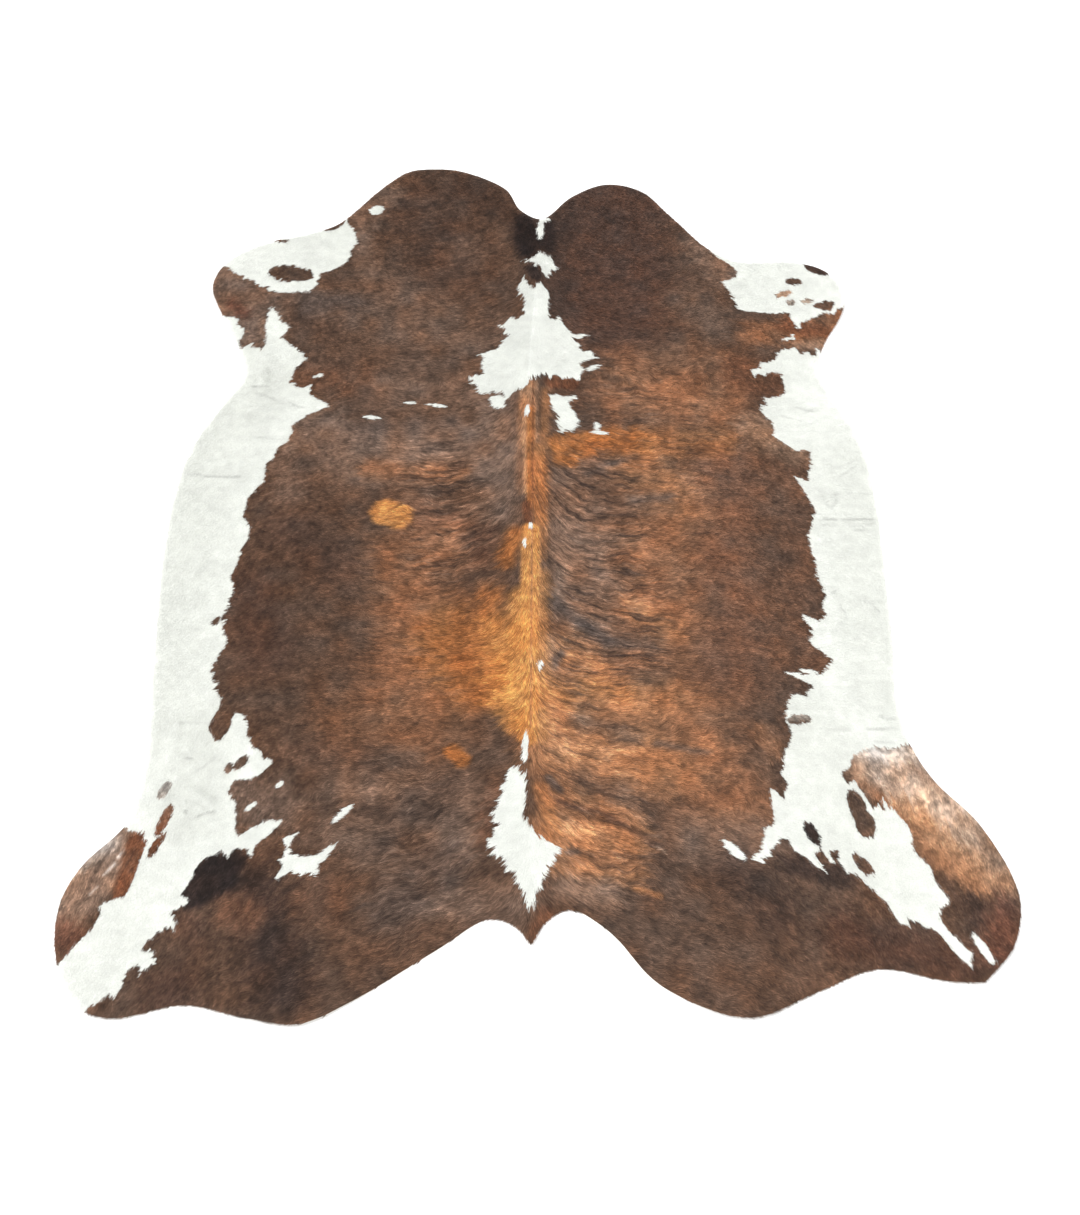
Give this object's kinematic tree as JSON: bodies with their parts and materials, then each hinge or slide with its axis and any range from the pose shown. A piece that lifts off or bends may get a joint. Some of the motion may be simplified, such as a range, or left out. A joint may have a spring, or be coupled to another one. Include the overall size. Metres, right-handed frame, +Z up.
{
  "type": "cowhide rug",
  "caption": "Whole cow hide rug lying flat: tanned skin with its short hair on, cut round neck, legs, bellies, rump lobes and tail root, with soft parcel folds.",
  "frame": {"origin": "on the floor, under the middle of the rug's box", "axes": "+Y along the backbone towards the neck, +X to the right side seen from above, +Z up out of the hair"},
  "size_m": [1.9365, 2.3394, 0.0117],
  "materials": {
    "hide": "satin"
  },
  "bodies": {
    "root": {"hide": "hide"}
  },
  "joints": []
}
